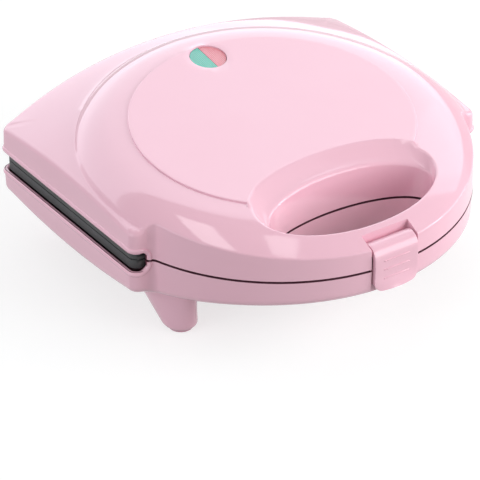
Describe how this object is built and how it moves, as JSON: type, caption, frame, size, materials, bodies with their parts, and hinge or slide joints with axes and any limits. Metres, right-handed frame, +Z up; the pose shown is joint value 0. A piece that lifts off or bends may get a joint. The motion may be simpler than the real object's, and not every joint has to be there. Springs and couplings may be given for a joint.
{
  "type": "sandwich maker",
  "caption": "Countertop sandwich maker with a hinged domed lid, triangular bread pockets in both plates, a finger opening through the handle and a pivoting latch.",
  "frame": {"origin": "centre of the footprint box, on the surface that the feet stand on", "axes": "+Z up, -Y towards the latch and handle, +X to the right of a person who faces the handle"},
  "size_m": [0.237, 0.246, 0.0973],
  "materials": {
    "casing": "glossy moulded plastic, pale pink",
    "cover": "matt black heat-resistant plastic",
    "plate_coating": "cast aluminium under a black non-stick coating",
    "sheet_steel": "bare bent sheet",
    "element_tube": "dull heat-darkened tube",
    "fastener_steel": "zinc-plated steel",
    "foot_rubber": "matt pink rubber",
    "terminal_plastic": "ivory heat-resistant plastic",
    "fuse_case": "bare metal can",
    "thermostat_case": "dark phenolic case",
    "green_lens": "clear tinted plastic, sea green",
    "red_lens": "clear tinted plastic, soft red",
    "lamp_holder": "white plastic",
    "lamp_glass": "clear glass"
  },
  "bodies": {
    "base": {"lower_casing": "casing", "lower_cooking_plate": "plate_coating", "lower_handle_cover": "cover", "lower_rear_cover": "cover", "lower_cover_screws": "fastener_steel", "lower_heat_shield": "sheet_steel", "lower_heating_element": "element_tube", "lower_element_clamps": "sheet_steel", "lower_strap_screws": "fastener_steel", "lower_shield_screws": "fastener_steel", "lower_plate_screws": "fastener_steel", "foot_pads": "foot_rubber", "terminal_block": "terminal_plastic", "thermal_fuse": "fuse_case", "fuse_clip": "sheet_steel", "cord_gland": "casing", "hinge_pins": "fastener_steel"},
    "lid": {"upper_casing": "casing", "upper_cooking_plate": "plate_coating", "upper_handle_cover": "cover", "upper_rear_cover": "cover", "upper_cover_screws": "fastener_steel", "upper_heat_shield": "sheet_steel", "upper_heating_element": "element_tube", "upper_element_clamps": "sheet_steel", "upper_strap_screws": "fastener_steel", "upper_shield_screws": "fastener_steel", "upper_plate_screws": "fastener_steel", "thermostat": "thermostat_case", "thermostat_clip": "sheet_steel", "green_lens": "green_lens", "red_lens": "red_lens", "lamp_holder": "lamp_holder", "indicator_lamps": "lamp_glass", "latch_pin": "fastener_steel"},
    "latch": {"latch": "casing"}
  },
  "joints": [
    {"name": "lid_hinge", "type": "hinge", "parent": "base", "child": "lid", "pos_m": [0, 0.11755, 0.05], "axis": [-1, 0, 0], "range_deg": [0, 100]},
    {"name": "latch_pivot", "type": "hinge", "parent": "lid", "child": "latch", "pos_m": [0, -0.11325, 0.0593], "axis": [-1, 0, 0], "range_deg": [0, 55]}
  ]
}
